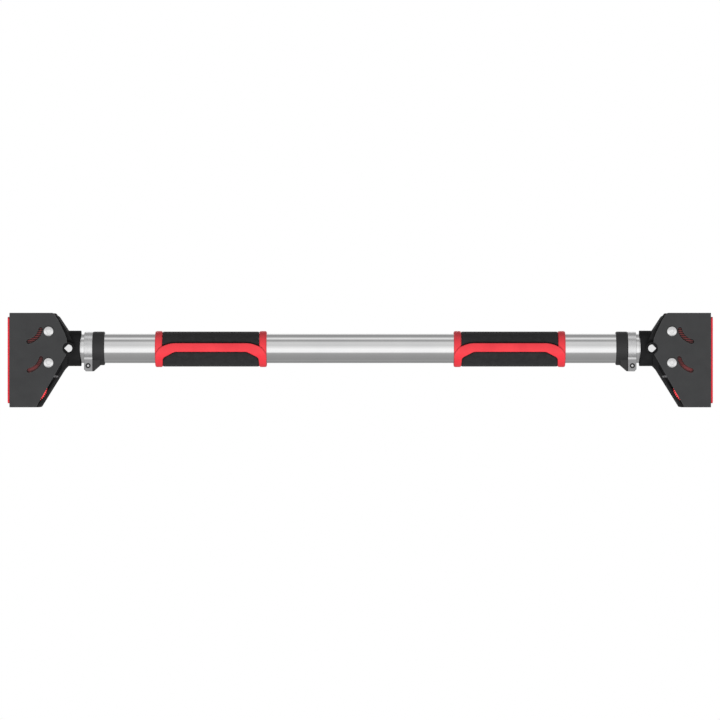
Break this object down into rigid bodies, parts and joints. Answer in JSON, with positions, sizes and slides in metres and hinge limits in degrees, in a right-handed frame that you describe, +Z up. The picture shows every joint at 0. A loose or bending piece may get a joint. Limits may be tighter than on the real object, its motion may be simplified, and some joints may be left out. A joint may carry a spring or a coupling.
{
  "type": "pull up bar",
  "caption": "Telescoping doorway pull up bar with padded grips, clamp collars, and cast yokes that carry tilting wall shoes with rubber pads.",
  "frame": {"origin": "the middle of the main tube, on its axis", "axes": "+X along the bar towards the right shoe, +Y away from the front side, +Z up"},
  "size_m": [0.906, 0.0694, 0.1214],
  "materials": {
    "chromed_tube": "bright satin chrome plating",
    "collar_metal": "bright machined and plated metal",
    "fastener_metal": "bright plated steel",
    "dark_steel": "fine matt charcoal powder coat",
    "black_casting": "black powder coated casting",
    "black_plastic": "moulded black plastic with a light sheen",
    "grip_foam": "fine-celled black foam rubber",
    "red_frame": "soft moulded red plastic",
    "red_liner": "moulded red nylon",
    "red_rubber": "ribbed red rubber"
  },
  "bodies": {
    "bar": {"main_tube": "chromed_tube", "left_clamp_collar": "collar_metal", "left_clamp_cover": "black_plastic", "left_clamp_nut": "fastener_metal", "left_grip_foam": "grip_foam", "left_grip_frame": "red_frame", "right_clamp_collar": "collar_metal", "right_clamp_cover": "black_plastic", "right_clamp_nut": "fastener_metal", "right_grip_foam": "grip_foam", "right_grip_frame": "red_frame"},
    "left_arm": {"left_inner_tube": "chromed_tube", "left_tube_plug": "black_plastic", "left_yoke": "black_casting", "left_cross_pin": "fastener_metal", "left_pin_clip": "fastener_metal"},
    "left_shoe": {"left_shoe_shell": "dark_steel", "left_wall_pad": "red_rubber", "left_liner": "red_liner", "left_shoe_bolts": "fastener_metal", "left_bolt_spacers": "fastener_metal", "left_shoe_nuts": "fastener_metal"},
    "left_screw": {"left_clamp_screw": "fastener_metal"},
    "right_arm": {"right_inner_tube": "chromed_tube", "right_tube_plug": "black_plastic", "right_yoke": "black_casting", "right_cross_pin": "fastener_metal", "right_pin_clip": "fastener_metal"},
    "right_shoe": {"right_shoe_shell": "dark_steel", "right_wall_pad": "red_rubber", "right_liner": "red_liner", "right_shoe_bolts": "fastener_metal", "right_bolt_spacers": "fastener_metal", "right_shoe_nuts": "fastener_metal"},
    "right_screw": {"right_clamp_screw": "fastener_metal"}
  },
  "joints": [
    {"name": "left_arm_slide", "type": "slide", "parent": "bar", "child": "left_arm", "axis": [-1, 0, 0], "range_m": [0, 0.1]},
    {"name": "left_shoe_tilt", "type": "hinge", "parent": "left_arm", "child": "left_shoe", "pos_m": [-0.3746, 0, 0], "axis": [0, 1, 0], "range_deg": [-3, 3]},
    {"name": "left_clamp_screw_turn", "type": "hinge", "parent": "bar", "child": "left_screw", "pos_m": [-0.3503, 0, -0.0223], "axis": [0, 1, 0], "continuous": true},
    {"name": "right_arm_slide", "type": "slide", "parent": "bar", "child": "right_arm", "axis": [1, 0, 0], "range_m": [0, 0.1]},
    {"name": "right_shoe_tilt", "type": "hinge", "parent": "right_arm", "child": "right_shoe", "pos_m": [0.3746, 0, 0], "axis": [0, 1, 0], "range_deg": [-3, 3]},
    {"name": "right_clamp_screw_turn", "type": "hinge", "parent": "bar", "child": "right_screw", "pos_m": [0.3503, 0, -0.0223], "axis": [0, 1, 0], "continuous": true}
  ]
}
